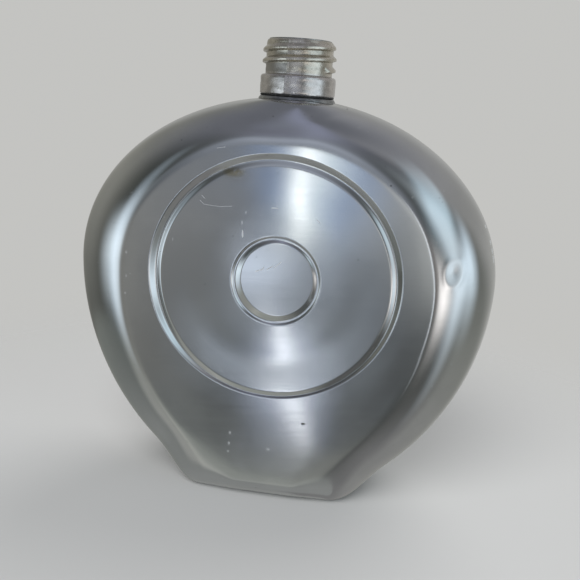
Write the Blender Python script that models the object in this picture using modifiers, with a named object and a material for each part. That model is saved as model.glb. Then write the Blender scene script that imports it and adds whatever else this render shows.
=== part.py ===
"""Flat aluminium water bottle: two pressed halves, their weld, and a cast screw neck.

Metres, +Z up. The bottle stands on its base at z = 0, its face looks along -Y,
and the neck's axis is the Z axis.
"""
import math

import bmesh
import bpy
import numpy as np

# Outline of the body, seen from the front
BODY_WIDTH = 0.186
BODY_HEIGHT = 0.1763
WIDEST_HEIGHT = 0.1005
BASE_FLAT_WIDTH = 0.060
BASE_CORNER_RADIUS = 0.022

# Section of the body, from the face back to the weld
BODY_THICKNESS = 0.062
SHEET = 0.001
FLANK_WIDTH_SIDE = 0.027
FLANK_WIDTH_TOP = 0.013
FLANK_WIDTH_CORNER = 0.0185
BASE_BEND_RADIUS = 0.010
FACE_CORNER_RADIUS = 0.006
FACE_CREASE_ANGLE = math.radians(8)
WELD_LAND = 0.0015

# Rings pressed into both faces, sizes across the face and down into it
RING_CENTRE_HEIGHT = 0.102
RING_DIAMETER = 0.106
RING_STEP_WIDTH = 0.0032
RING_STEP_DEPTH = 0.0022
RING_RISE_WIDTH = 0.0026
PANEL_DROP = 0.0016
BUTTON_RING_DIAMETER = 0.0388
BUTTON_STEP_WIDTH = 0.0021
BUTTON_STEP_DEPTH = 0.0012
BUTTON_RISE_WIDTH = 0.0025
BUTTON_RISE_HEIGHT = 0.0006
PANEL_CROWN_HEIGHT = 0.0009
PANEL_CROWN_WIDTH = 0.008

# Weld round the edge
WELD_WIDTH = 0.0012
WELD_DEPTH = 0.0011
WELD_RECESS = 0.0001

# Neck, all turned about the Z axis
NECK_BORE_DIAMETER = 0.022
SLEEVE_WALL = 0.0008
SLEEVE_LIP_REACH = 0.0014
BOSS_WALL = 0.0011
BOSS_DEPTH = 0.010
BOSS_FLANGE_DIAMETER = 0.0334
BOSS_FLANGE_DEPTH = 0.006
BOSS_STAND_UP = 0.0003
GASKET_THICKNESS = 0.0006
GASKET_DIAMETER = 0.0308
COLLAR_DIAMETER = 0.032
COLLAR_HEIGHT = 0.0075
COLLAR_CHAMFER = 0.0007
THREAD_ROOT_DIAMETER = 0.0282
THREAD_DIAMETER = 0.0313
THREAD_RIDGE_WIDTH = 0.0028
THREAD_PITCH = 0.0045
THREAD_TURNS = 2.1
THREAD_START_GAP = 0.0012
THREAD_START_ANGLE = math.radians(-32)
THREAD_RUN_OUT = math.radians(24)
THREAD_END_SHARE = 0.4
NECK_HEIGHT = 0.022
RIM_CHAMFER = 0.0009

# Clearances
SEAT_GAP = 0.0003
WELD_GAP = 0.0003

# How finely round shapes are divided
BASE_STEPS = 3
CORNER_STEPS = 3
LOWER_SIDE_STEPS = 9
UPPER_STEPS = 15
FLANK_STEPS = 6
ROUND_STEPS = 40
THREAD_STEP_ANGLE = math.radians(12)
OUTLINE_SAMPLES = 240
MERGE_DISTANCE = 0.00001

# Heights and radii that follow from the sizes above
HALF_THICKNESS = BODY_THICKNESS / 2
RIM_Y = WELD_WIDTH / 2 + WELD_GAP
BORE_RADIUS = NECK_BORE_DIAMETER / 2
SLEEVE_RADIUS = BORE_RADIUS + SLEEVE_WALL
SOCKET_RADIUS = SLEEVE_RADIUS + SEAT_GAP
BOSS_RADIUS = SOCKET_RADIUS + BOSS_WALL
SEAT_Z = BODY_HEIGHT + BOSS_STAND_UP
GASKET_Z = SEAT_Z + SEAT_GAP
COLLAR_Z = GASKET_Z + GASKET_THICKNESS + SEAT_GAP
COLLAR_TOP_Z = COLLAR_Z + COLLAR_HEIGHT
SLEEVE_TOP_Z = COLLAR_Z + NECK_HEIGHT
RIM_Z = SLEEVE_TOP_Z - SLEEVE_WALL - SEAT_GAP
BOSS_BOTTOM_Z = SEAT_Z - BOSS_DEPTH


def clear_scene():
    """Starts from an empty scene."""
    for old in list(bpy.data.objects):
        bpy.data.objects.remove(old, do_unlink=True)


def new_collection(name):
    collection = bpy.data.collections.new(name)
    bpy.context.scene.collection.children.link(collection)
    return collection


def material(name, colour, metallic, roughness):
    """A Principled material in one colour."""
    result = bpy.data.materials.new(name)
    result.use_nodes = True
    shader = result.node_tree.nodes["Principled BSDF"]
    shader.inputs["Base Color"].default_value = (*colour, 1.0)
    shader.inputs["Metallic"].default_value = metallic
    shader.inputs["Roughness"].default_value = roughness
    return result


def smooth(mesh, angle=math.radians(30)):
    """Shades a mesh round, with its edges past the angle kept sharp."""
    mesh.shade_smooth()
    mesh.set_sharp_from_angle(angle=angle)


def add_object(name, mesh, collection, finish=None):
    result = bpy.data.objects.new(name, mesh)
    collection.objects.link(result)
    if finish:
        mesh.materials.append(finish)
    return result


def mesh_from(bm, name):
    mesh = bpy.data.meshes.new(name)
    bm.to_mesh(mesh)
    bm.free()
    return mesh


def boolean(target, cutter, operation="DIFFERENCE"):
    modifier = target.modifiers.new(operation.lower(), "BOOLEAN")
    modifier.operation = operation
    modifier.solver = "EXACT"
    modifier.object = cutter


def as_cutter(cutter):
    cutter.hide_render = True
    cutter.display_type = "WIRE"
    return cutter


def half_outline(half_width, widest_z, top_z, bottom_z, flat_half, corner_radius, steps):
    """Right half of an outline, from the middle of its base up to its crown.

    A flat base, a corner arc, a side arc that meets the widest place upright,
    and a quarter ellipse over the shoulder. Steps divide those four stretches.
    """
    base_steps, corner_steps, side_steps, top_steps = steps
    across = half_width - flat_half
    up = widest_z - bottom_z - corner_radius
    side_radius = (across**2 + up**2 - corner_radius**2) / (2 * (across - corner_radius))
    side_centre = half_width - side_radius
    lean = math.atan2(up, flat_half - side_centre)
    points = [(flat_half * i / base_steps, bottom_z) for i in range(base_steps)]
    for i in range(corner_steps):
        angle = -math.pi / 2 + (math.pi / 2 - lean) * i / corner_steps
        points.append((flat_half + corner_radius * math.cos(angle),
                       bottom_z + corner_radius + corner_radius * math.sin(angle)))
    for i in range(side_steps):
        angle = -lean * (1 - i / side_steps)
        points.append((side_centre + side_radius * math.cos(angle),
                       widest_z + side_radius * math.sin(angle)))
    for i in range(top_steps + 1):
        angle = math.pi / 2 * i / top_steps
        points.append((half_width * math.cos(angle), widest_z + (top_z - widest_z) * math.sin(angle)))
    return np.array(points)


def body_outline(steps, grow=0.0):
    """Right half of the body's widest outline, at the weld."""
    return half_outline(BODY_WIDTH / 2 + grow, WIDEST_HEIGHT, BODY_HEIGHT + grow, -grow,
                        BASE_FLAT_WIDTH / 2, BASE_CORNER_RADIUS, steps)


def face_outline(steps):
    """Right half of the flat face's edge."""
    return half_outline(BODY_WIDTH / 2 - FLANK_WIDTH_SIDE, WIDEST_HEIGHT, BODY_HEIGHT - FLANK_WIDTH_TOP,
                        BASE_BEND_RADIUS, BASE_FLAT_WIDTH / 2 - FLANK_WIDTH_CORNER,
                        FACE_CORNER_RADIUS, steps)


def polar_angle(points):
    """Angle of points about the rings' centre, from straight down round to straight up."""
    return np.arctan2(points[:, 0], RING_CENTRE_HEIGHT - points[:, 1])


def polar_radius(points, angles):
    """Distance from the rings' centre to an outline, along each angle."""
    radii = np.hypot(points[:, 0], points[:, 1] - RING_CENTRE_HEIGHT)
    return np.interp(angles, polar_angle(points), radii)


def spoke_angles():
    """Angles of the spokes that the pressed half is divided by, all the way round."""
    half = polar_angle(body_outline((BASE_STEPS, CORNER_STEPS, LOWER_SIDE_STEPS, UPPER_STEPS)))
    return np.concatenate([half, -half[-2:0:-1]])


def base_share(angles):
    """1 over the flat base, falling to 0 up the lower side."""
    corner = math.atan2(BASE_FLAT_WIDTH / 2, RING_CENTRE_HEIGHT)
    fade = np.clip((np.abs(angles) - corner) / corner, 0, 1)
    return 1 - fade * fade * (3 - 2 * fade)


def face_rings():
    """Radius and depth below the face of each circle pressed into it, from the centre out."""
    ring = RING_DIAMETER / 2
    button = BUTTON_RING_DIAMETER / 2
    button_edge = PANEL_DROP - PANEL_CROWN_HEIGHT
    valley = button_edge + BUTTON_STEP_DEPTH
    disc = valley - BUTTON_RISE_HEIGHT
    return [
        (button - BUTTON_STEP_WIDTH - BUTTON_RISE_WIDTH, disc),
        (button - BUTTON_STEP_WIDTH, valley),
        (button, button_edge),
        (button + PANEL_CROWN_WIDTH / 2, (button_edge + PANEL_DROP) / 2),
        (button + PANEL_CROWN_WIDTH * 1.5, PANEL_DROP),
        (ring - RING_STEP_WIDTH - RING_RISE_WIDTH, PANEL_DROP),
        (ring - RING_STEP_WIDTH, RING_STEP_DEPTH),
        (ring, 0.0),
    ]


def pressed_loops(grow=0.0, rim_y=RIM_Y, rings=True):
    """Loops of points over the front half, from the innermost circle out to the weld's edge."""
    angles = spoke_angles()
    directions = np.stack([np.sin(angles), np.zeros(len(angles)), -np.cos(angles)], axis=1)
    centre = np.array([0.0, 0.0, RING_CENTRE_HEIGHT])
    fine = (OUTLINE_SAMPLES,) * 4
    face_radius = polar_radius(face_outline(fine), np.abs(angles))
    body_radius = polar_radius(body_outline(fine, grow), np.abs(angles))
    depth = HALF_THICKNESS + grow

    def loop(radius, y):
        points = centre + directions * np.reshape(radius, (-1, 1))
        points[:, 1] = y
        return points

    loops = []
    if rings:
        loops = [loop(np.full(len(angles), radius), down - depth) for radius, down in face_rings()]
    land = WELD_LAND + (depth - BASE_BEND_RADIUS - WELD_LAND) * base_share(angles)
    last = math.pi / 2 - FACE_CREASE_ANGLE
    for step in range(FLANK_STEPS, -1, -1):
        turn = last * step / FLANK_STEPS
        inward = (1 - math.cos(turn)) / (1 - math.cos(last))
        forward = math.sin(turn) / math.sin(last)
        loops.append(loop(body_radius + (face_radius - body_radius) * inward,
                          -(land + (depth - land) * forward)))
    loops.append(loop(body_radius, -rim_y))
    return loops


def skin(bm, loops, centre_y):
    """Joins the loops with quads and closes the innermost with a fan. Returns the outer loop."""
    rows = [[bm.verts.new(point) for point in loop] for loop in loops]
    middle = bm.verts.new((0.0, centre_y, RING_CENTRE_HEIGHT))
    count = len(rows[0])
    for i in range(count):
        j = (i + 1) % count
        bm.faces.new((middle, rows[0][i], rows[0][j]))
        for inner, outer in zip(rows, rows[1:]):
            bm.faces.new((inner[i], outer[i], outer[j], inner[j]))
    return rows[-1]


def pressed_half_mesh():
    """The outer surface of the front half, open at the weld."""
    bm = bmesh.new()
    loops = pressed_loops()
    skin(bm, loops, loops[0][0][1])
    mesh = mesh_from(bm, "pressed_half")
    smooth(mesh)
    return mesh


def body_block(collection):
    """The whole body as one solid, grown by the seat gap, to cut the boss's flange to its saddle."""
    bm = bmesh.new()
    for side in (1, -1):
        half = bmesh.new()
        skin(half, pressed_loops(SEAT_GAP, 0.0, rings=False), -(HALF_THICKNESS + SEAT_GAP))
        if side < 0:
            bmesh.ops.scale(half, vec=(1, -1, 1), verts=half.verts)
            bmesh.ops.reverse_faces(half, faces=half.faces)
        piece = mesh_from(half, "half_block")
        bm.from_mesh(piece)
        bpy.data.meshes.remove(piece)
    bmesh.ops.remove_doubles(bm, verts=bm.verts, dist=MERGE_DISTANCE)
    return as_cutter(add_object("body_block", mesh_from(bm, "body_block"), collection))


def turned(name, profile, collection, finish=None, steps=ROUND_STEPS):
    """A ring turned about Z from a closed profile of (radius, height), listed down its outside first."""
    mesh = bpy.data.meshes.new(name)
    edges = [(i, (i + 1) % len(profile)) for i in range(len(profile))]
    mesh.from_pydata([(radius, 0.0, z) for radius, z in profile], edges, [])
    result = add_object(name, mesh, collection, finish)
    screw = result.modifiers.new("turn", "SCREW")
    screw.axis = "Z"
    screw.steps = steps
    screw.render_steps = steps
    screw.use_merge_vertices = True
    screw.merge_threshold = MERGE_DISTANCE
    screw.use_smooth_shade = True
    return result


def neck_hole(collection):
    """The round hole that the boss passes through, its facets' middles at the stated clearance."""
    half_step = math.pi / ROUND_STEPS
    radius = (BOSS_RADIUS + SEAT_GAP) / math.cos(half_step)
    bm = bmesh.new()
    bmesh.ops.create_cone(bm, cap_ends=True, segments=ROUND_STEPS, depth=BOSS_DEPTH * 4,
                          radius1=radius, radius2=radius)
    cutter = as_cutter(add_object("neck_hole", mesh_from(bm, "neck_hole"), collection))
    cutter.location = (0, 0, BODY_HEIGHT)
    cutter.rotation_euler = (0, 0, half_step)
    return cutter


def make_shells(collection, hole, finish):
    """The front half, and the back half from the same die, turned round."""
    mesh = pressed_half_mesh()
    mesh.materials.append(finish)
    for name, turn in (("front_shell", 0.0), ("back_shell", math.pi)):
        shell = add_object(name, mesh, collection)
        shell.rotation_euler = (0, 0, turn)
        sheet = shell.modifiers.new("sheet", "SOLIDIFY")
        sheet.thickness = SHEET
        sheet.offset = -1
        sheet.use_even_offset = True
        boolean(shell, hole)


def closed_outline(inset):
    """The body's outline all the way round, drawn in by the inset, its base one straight run."""
    half = body_outline((1, CORNER_STEPS, LOWER_SIDE_STEPS, UPPER_STEPS))[1:]
    points = np.concatenate([half, half[-2::-1] * (-1, 1)])
    along = np.roll(points, -1, axis=0) - np.roll(points, 1, axis=0)
    outward = np.stack([along[:, 1], -along[:, 0]], axis=1)
    outward /= np.linalg.norm(outward, axis=1, keepdims=True)
    return points - outward * inset


def make_side_weld(collection, hole, finish):
    """The weld bead as a flat band round the outline, open where the boss is."""
    curve = bpy.data.curves.new("weld_outline", "CURVE")
    curve.dimensions = "2D"
    curve.fill_mode = "BOTH"
    curve.extrude = WELD_WIDTH / 2
    for inset in (WELD_RECESS, WELD_RECESS + WELD_DEPTH):
        points = closed_outline(inset)
        spline = curve.splines.new("POLY")
        spline.points.add(len(points) - 1)
        for target, (x, z) in zip(spline.points, points):
            target.co = (x, z, 0, 1)
        spline.use_cyclic_u = True
    flat = bpy.data.objects.new("weld_outline", curve)
    flat.rotation_euler = (math.pi / 2, 0, 0)
    collection.objects.link(flat)
    weld = solid_from_curve(flat, "side_weld", collection, finish)
    boolean(weld, hole)


def solid_from_curve(source, name, collection, finish=None):
    """Turns a curve object into a closed mesh object in its place, and removes the curve."""
    bpy.context.view_layer.update()
    evaluated = source.evaluated_get(bpy.context.evaluated_depsgraph_get())
    mesh = bpy.data.meshes.new_from_object(evaluated)
    bm = bmesh.new()
    bm.from_mesh(mesh)
    bmesh.ops.remove_doubles(bm, verts=bm.verts, dist=MERGE_DISTANCE)
    bmesh.ops.recalc_face_normals(bm, faces=bm.faces)
    bm.to_mesh(mesh)
    bm.free()
    mesh.materials.clear()
    result = add_object(name, mesh, collection, finish)
    result.matrix_world = source.matrix_world.copy()
    bpy.data.objects.remove(source, do_unlink=True)
    return result


def make_boss(collection, cutters, finish):
    """The boss let into the crown: a barrel through the sheet and a flange cut to the body's saddle."""
    lap = BOSS_WALL / 2
    flange_radius = BOSS_FLANGE_DIAMETER / 2
    flange_z = SEAT_Z - BOSS_FLANGE_DEPTH
    boss = turned("neck_boss", [(flange_radius, SEAT_Z), (flange_radius, flange_z),
                                (SOCKET_RADIUS + lap, flange_z), (SOCKET_RADIUS + lap, SEAT_Z)],
                  collection, finish)
    boolean(boss, body_block(cutters))
    barrel_top = SEAT_Z - SEAT_GAP
    barrel = turned("boss_barrel", [(BOSS_RADIUS, barrel_top), (BOSS_RADIUS, BOSS_BOTTOM_Z),
                                    (SOCKET_RADIUS, BOSS_BOTTOM_Z), (SOCKET_RADIUS, barrel_top)], cutters)
    boolean(boss, as_cutter(barrel), "UNION")


def make_gasket(collection, finish):
    """The black ring between the boss and the collar."""
    radius = GASKET_DIAMETER / 2
    top = GASKET_Z + GASKET_THICKNESS
    turned("neck_gasket", [(radius, top), (radius, GASKET_Z), (SOCKET_RADIUS, GASKET_Z),
                           (SOCKET_RADIUS, top)], collection, finish)


def make_thread(cutters):
    """The raised thread as a round ridge along a helix, tapered at both ends."""
    radius = THREAD_RIDGE_WIDTH / 2
    centre = THREAD_DIAMETER / 2 - radius
    start_z = COLLAR_TOP_Z + THREAD_START_GAP + radius
    total = THREAD_TURNS * 2 * math.pi
    count = math.ceil(total / THREAD_STEP_ANGLE)
    curve = bpy.data.curves.new("thread", "CURVE")
    curve.dimensions = "3D"
    curve.bevel_depth = radius
    curve.bevel_resolution = 2
    curve.use_fill_caps = True
    spline = curve.splines.new("POLY")
    spline.points.add(count)
    for i, point in enumerate(spline.points):
        turn = total * i / count
        angle = THREAD_START_ANGLE + turn
        z = start_z + THREAD_PITCH * turn / (2 * math.pi)
        point.co = (centre * math.cos(angle), centre * math.sin(angle), z, 1)
        run = min(turn, total - turn) / THREAD_RUN_OUT
        point.radius = THREAD_END_SHARE + (1 - THREAD_END_SHARE) * min(run, 1.0)
    source = bpy.data.objects.new("thread_path", curve)
    cutters.objects.link(source)
    return as_cutter(solid_from_curve(source, "thread_ridge", cutters))


def make_neck(collection, cutters, finish):
    """The cast spout: collar, plain root, chamfered rim, and the thread joined on."""
    collar = COLLAR_DIAMETER / 2
    root = THREAD_ROOT_DIAMETER / 2
    neck = turned("threaded_neck", [
        (root - RIM_CHAMFER, RIM_Z), (root, RIM_Z - RIM_CHAMFER),
        (root, COLLAR_TOP_Z), (collar - COLLAR_CHAMFER, COLLAR_TOP_Z),
        (collar, COLLAR_TOP_Z - COLLAR_CHAMFER), (collar, COLLAR_Z),
        (SOCKET_RADIUS, COLLAR_Z), (SOCKET_RADIUS, RIM_Z),
    ], collection, finish)
    boolean(neck, make_thread(cutters), "UNION")


def make_sleeve(collection, finish):
    """The sleeve that holds the neck on, rolled out over the rim and under the boss."""
    lip = SLEEVE_RADIUS + SLEEVE_LIP_REACH
    top_under = SLEEVE_TOP_Z - SLEEVE_WALL
    bottom_over = BOSS_BOTTOM_Z - SEAT_GAP
    bottom = bottom_over - SLEEVE_WALL
    edge = SLEEVE_WALL / 2
    turned("neck_sleeve", [
        (BORE_RADIUS + edge, SLEEVE_TOP_Z), (lip - edge, SLEEVE_TOP_Z), (lip, SLEEVE_TOP_Z - edge),
        (lip, top_under), (SLEEVE_RADIUS, top_under), (SLEEVE_RADIUS, bottom_over),
        (lip, bottom_over), (lip, bottom), (BORE_RADIUS, bottom), (BORE_RADIUS, SLEEVE_TOP_Z - edge),
    ], collection, finish)


def main():
    clear_scene()
    bottle = new_collection("aluminium_water_bottle")
    cutters = new_collection("cutters")
    satin = material("satin_aluminium", (0.60, 0.62, 0.64), 1.0, 0.34)
    ground = material("ground_weld", (0.52, 0.53, 0.54), 1.0, 0.45)
    turned_metal = material("boss_aluminium", (0.42, 0.43, 0.42), 1.0, 0.5)
    cast = material("cast_neck_metal", (0.50, 0.50, 0.44), 1.0, 0.42)
    rolled = material("sleeve_aluminium", (0.46, 0.46, 0.44), 1.0, 0.4)
    rubber = material("gasket_rubber", (0.02, 0.02, 0.02), 0.0, 0.7)
    hole = neck_hole(cutters)
    make_shells(bottle, hole, satin)
    make_side_weld(bottle, hole, ground)
    make_boss(bottle, cutters, turned_metal)
    make_gasket(bottle, rubber)
    make_neck(bottle, cutters, cast)
    make_sleeve(bottle, rolled)


main()
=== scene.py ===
# %% [markdown]
# # A flat aluminium water bottle
# The bottle is two pressed halves welded round the edge, with a cast screw neck on its crown.
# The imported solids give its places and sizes. This script dresses them: finer forms, metal
# finishes, a pale floor, soft studio light, and the camera. The back, the weld, the boss and
# the sleeve don't show in the photograph, so they are built as such bottles usually have them.

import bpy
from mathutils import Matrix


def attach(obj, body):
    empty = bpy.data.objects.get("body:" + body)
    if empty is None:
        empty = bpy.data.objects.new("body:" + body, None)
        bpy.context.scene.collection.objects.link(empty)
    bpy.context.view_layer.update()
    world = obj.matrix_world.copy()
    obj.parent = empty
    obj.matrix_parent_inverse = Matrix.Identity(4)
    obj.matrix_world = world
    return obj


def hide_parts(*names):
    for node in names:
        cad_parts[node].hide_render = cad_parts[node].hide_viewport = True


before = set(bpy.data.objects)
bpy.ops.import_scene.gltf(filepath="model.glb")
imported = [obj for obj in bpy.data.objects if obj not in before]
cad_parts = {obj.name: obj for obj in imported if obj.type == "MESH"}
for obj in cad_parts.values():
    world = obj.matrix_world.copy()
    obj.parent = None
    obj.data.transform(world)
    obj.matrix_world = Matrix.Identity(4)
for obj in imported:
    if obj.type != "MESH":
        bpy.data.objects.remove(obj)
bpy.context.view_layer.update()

# %% Libraries for the rest of the lesson
import math

import bmesh
import bpy
import numpy as np
from mathutils import Matrix, Vector

# %% [markdown]
# ## Helpers for working by hand
# Operators act on everything that is selected, so each piece starts with nothing selected.
# A helper adds a primitive and leaves it ready in edit mode, and another one closes the piece:
# it puts the place into the mesh, points the faces outward and shades it round.

# %% Start and finish a piece
MM = 0.001


def deselect_all():
    """Leaves edit mode and selects nothing."""
    if bpy.context.object and bpy.context.object.mode != "OBJECT":
        bpy.ops.object.mode_set(mode="OBJECT")
    bpy.ops.object.select_all(action="DESELECT")


def activate(piece):
    deselect_all()
    piece.select_set(True)
    bpy.context.view_layer.objects.active = piece


def start_circle(name, spokes, radius, height=0.0, fill="NOTHING"):
    """Adds a circle round the Z axis and leaves it in edit mode, all selected."""
    deselect_all()
    bpy.ops.mesh.primitive_circle_add(vertices=spokes, radius=radius, fill_type=fill,
                                      location=(0, 0, height))
    piece = bpy.context.object
    piece.name = piece.data.name = name
    bpy.ops.object.transform_apply(location=True)
    bpy.ops.object.mode_set(mode="EDIT")
    bpy.ops.mesh.select_all(action="SELECT")
    return piece


def points_of(piece):
    """The mesh's points as an array, one row each."""
    flat = np.empty(len(piece.data.vertices) * 3)
    piece.data.vertices.foreach_get("co", flat)
    return flat.reshape(-1, 3)


def place_points(piece, points):
    piece.data.vertices.foreach_set("co", np.asarray(points, dtype=np.float32).ravel())
    piece.data.update()


def apply_modifier(piece, name, kind, **settings):
    activate(piece)
    modifier = piece.modifiers.new(name, kind)
    for key, value in settings.items():
        setattr(modifier, key, value)
    bpy.ops.object.modifier_apply(modifier=modifier.name)


def face_outward(piece):
    activate(piece)
    bpy.ops.object.mode_set(mode="EDIT")
    bpy.ops.mesh.select_all(action="SELECT")
    bpy.ops.mesh.normals_make_consistent(inside=False)
    bpy.ops.object.mode_set(mode="OBJECT")


def finish_piece(piece, material, node, sharp=35):
    """Shades a piece, gives it its finish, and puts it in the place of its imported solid."""
    activate(piece)
    bpy.ops.object.shade_smooth_by_angle(angle=math.radians(sharp))
    piece.data.materials.clear()
    piece.data.materials.append(material)
    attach(piece, "root")
    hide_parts(node)
    piece.data.calc_loop_triangles()
    print(piece.name, "triangles", len(piece.data.loop_triangles))


# %% [markdown]
# ## Shader maths in Python
# A socket in a small class lets a pattern be written as an expression: each operator adds
# its Math node. Any other node comes from one method, which takes the node's type, its
# settings, and the values or links of its sockets.

# %% Sockets that can be added and multiplied
class Signal:
    """A number, vector or colour that varies over a surface."""

    def __init__(self, board, socket):
        self.board = board
        self.socket = socket

    def maths(self, operation, *values):
        return self.board.node("ShaderNodeMath", {"operation": operation}, list(values))

    def __add__(self, other):
        return self.maths("ADD", self, other)

    def __radd__(self, other):
        return self.maths("ADD", other, self)

    def __sub__(self, other):
        return self.maths("SUBTRACT", self, other)

    def __rsub__(self, other):
        return self.maths("SUBTRACT", other, self)

    def __mul__(self, other):
        return self.maths("MULTIPLY", self, other)

    def __rmul__(self, other):
        return self.maths("MULTIPLY", other, self)

    def __truediv__(self, other):
        return self.maths("DIVIDE", self, other)

    def __rtruediv__(self, other):
        return self.maths("DIVIDE", other, self)

    def __abs__(self):
        return self.maths("ABSOLUTE", self)

    def rise(self, low, high):
        """0 below low, 1 above high, and smooth between."""
        return self.board.node("ShaderNodeMapRange", {"interpolation_type": "SMOOTHSTEP"},
                               {"Value": self, "From Min": low, "From Max": high})

    def bump(self, centre, reach):
        """1 at the centre, falling to almost 0 two reaches away."""
        offset = (self - centre) / reach
        return self.maths("EXPONENT", offset * offset * -1.0)

    def most(self, other):
        """The larger of the two at each point."""
        return self.maths("MAXIMUM", self, other)


class Board:
    """A node tree that nodes are added to."""

    def __init__(self, tree):
        self.tree = tree
        tree.nodes.clear()

    def node(self, kind, settings=None, values=None, output=0):
        """Adds a node and returns one of its outputs."""
        node = self.tree.nodes.new(kind)
        for key, value in (settings or {}).items():
            setattr(node, key, value)
        pairs = values.items() if isinstance(values, dict) else enumerate(values or [])
        for key, value in pairs:
            socket = node.inputs[key]
            if isinstance(value, Signal):
                self.tree.links.new(value.socket, socket)
            else:
                socket.default_value = value
        return Signal(self, node.outputs[output]) if len(node.outputs) else None

    def mix(self, share, first, second):
        """The second colour laid over the first by the share."""
        return self.node("ShaderNodeMix", {"data_type": "RGBA"},
                         {0: share, 6: first, 7: second}, output=2)

    def split(self, vector):
        """A vector's three parts, each as a signal."""
        outputs = self.node("ShaderNodeSeparateXYZ", None, [vector]).socket.node.outputs
        return [Signal(self, output) for output in outputs]


def colour(red, green, blue):
    return (red, green, blue, 1.0)


# %% [markdown]
# ## Sizes that the forms share
# These are the bottle's own sizes: the outline, the section from the face back to the weld, and
# the rings pressed into each face. They are those of the solids, but for the face's edge, which
# lies 2.6 mm lower at the crown here, and for the finer rings below.

# %% Sizes in millimetres
BODY_WIDTH, BODY_HEIGHT, WIDEST_HEIGHT = 186.0, 176.3, 100.5
BASE_FLAT, BASE_CORNER = 60.0, 22.0
HALF_THICKNESS, SHEET = 31.0, 1.0
FLANK_SIDE, FLANK_TOP, FLANK_CORNER = 27.0, 15.6, 18.5
BASE_BEND, FACE_CORNER, WELD_LAND = 10.0, 6.0, 1.5
CREASE_ANGLE = math.radians(8)
RING_HEIGHT, RING_RADIUS = 102.0, 53.0
SPOKES = 360


def half_outline(half_width, widest, top, bottom, flat_half, corner, count=160):
    """Right half of an outline: flat base, corner arc, side arc, quarter ellipse."""
    across = half_width - flat_half
    up = widest - bottom - corner
    side = (across**2 + up**2 - corner**2) / (2 * (across - corner))
    lean = math.atan2(up, flat_half - half_width + side)
    share = np.linspace(0, 1, count, endpoint=False)
    base = np.stack([flat_half * share, np.full(count, bottom)], axis=1)
    turn = -math.pi / 2 + (math.pi / 2 - lean) * share
    bend = np.stack([flat_half + corner * np.cos(turn), bottom + corner + corner * np.sin(turn)], axis=1)
    turn = -lean * (1 - share)
    flank = np.stack([half_width - side + side * np.cos(turn), widest + side * np.sin(turn)], axis=1)
    turn = np.linspace(0, math.pi / 2, count)
    crown = np.stack([half_width * np.cos(turn), widest + (top - widest) * np.sin(turn)], axis=1)
    return np.concatenate([base, bend, flank, crown])


def reach_of(outline, angles):
    """Distance from the rings' centre to an outline, by the angle from straight down."""
    turns = np.arctan2(outline[:, 0], RING_HEIGHT - outline[:, 1])
    return np.interp(np.abs(angles), turns, np.hypot(outline[:, 0], outline[:, 1] - RING_HEIGHT))


body_edge = half_outline(BODY_WIDTH / 2, WIDEST_HEIGHT, BODY_HEIGHT, 0.0, BASE_FLAT / 2, BASE_CORNER)
face_edge = half_outline(BODY_WIDTH / 2 - FLANK_SIDE, WIDEST_HEIGHT, BODY_HEIGHT - FLANK_TOP, BASE_BEND,
                         BASE_FLAT / 2 - FLANK_CORNER, FACE_CORNER)
print("body outline in mm", round(2 * body_edge[:, 0].max(), 1), "by", round(body_edge[:, 1].max(), 1))

# %% [markdown]
# ## The pressed halves
# Each half is one aluminium sheet, pressed in a die: a flat face with two rings in it, and a
# flank that rolls round to the weld. By hand it starts as a flat disc. Its face is inset once
# for each line of the pressing, which gives loops for the die to shape. Then every point is
# pressed to the die's section in code, because no single operator rounds a step this finely.

# %% The die's section across the rings
# Radius from the rings' centre, depth below the face, and how far each corner is rounded
DISH_CORNERS = [(0.0, 0.78, 6.0), (14.3, 0.84, 0.2), (16.6, 1.42, 0.15), (17.5, 1.42, 0.15),
                (18.2, 0.88, 0.3), (22.0, 0.92, 2.2), (31.0, 1.00, 3.0), (36.0, 1.07, 3.0),
                (42.0, 1.07, 3.0), (60.0, 1.02, 1.0)]
# The same for a lean: this much deeper straight below the centre, and as much shallower above it
FOOT_LEAN = [(0.0, 0.0, 1.0), (14.3, 0.14, 0.2), (16.6, 0.0, 0.15), (18.2, 0.0, 0.3), (22.0, 0.02, 2.2),
             (36.0, 0.09, 4.0), (60.0, -0.51, 1.0)]
# And this much deeper to the right of the centre, and as much shallower to its left
BUTTON_LEAN = [(0.0, 0.0, 1.0), (14.3, 0.26, 0.2), (16.6, 0.0, 0.15), (60.0, 0.0, 1.0)]
# The large ring: its inner slope, its outer wall, its depth and half of its flat floor. The
# second number of a pair is what the sides and the top have more than the foot
INNER_RUN, TROUGH = 2.1, 50.5
WALL, WALL_MORE = 0.5, 2.0
DEPTH, DEPTH_MORE = 1.06, 0.86
BED, BED_MORE = 0.04, 0.26


def eased(value, reach):
    """The value where it is positive, with its corner at zero rounded."""
    return np.where(value > reach, value, np.where(value < -reach, 0, (value + reach) ** 2 / (4 * reach)))


def through(corners, radius):
    """A line through the corners, each of them rounded by its own reach."""
    height, slope = np.full_like(radius, corners[0][1]), 0.0
    for (corner, level, reach), (following, next_level, _) in zip(corners, corners[1:]):
        steeper = (next_level - level) / (following - corner)
        height = height + (steeper - slope) * eased(radius - corner, reach)
        slope = steeper
    return height


def disc_depth(radius, angles):
    """How deep the disc inside the large ring lies below the face."""
    return (through(DISH_CORNERS, radius) + through(FOOT_LEAN, radius) * np.cos(angles)
            + through(BUTTON_LEAN, radius) * np.sin(angles))


def wall_share(angles):
    """0 at the foot of the large ring, where its outer wall is steep, and 1 from its sides up."""
    share = np.clip((np.abs(angles - math.radians(5)) - math.radians(10)) / math.radians(85), 0, 1)
    return share * share * (3 - 2 * share)


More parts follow.
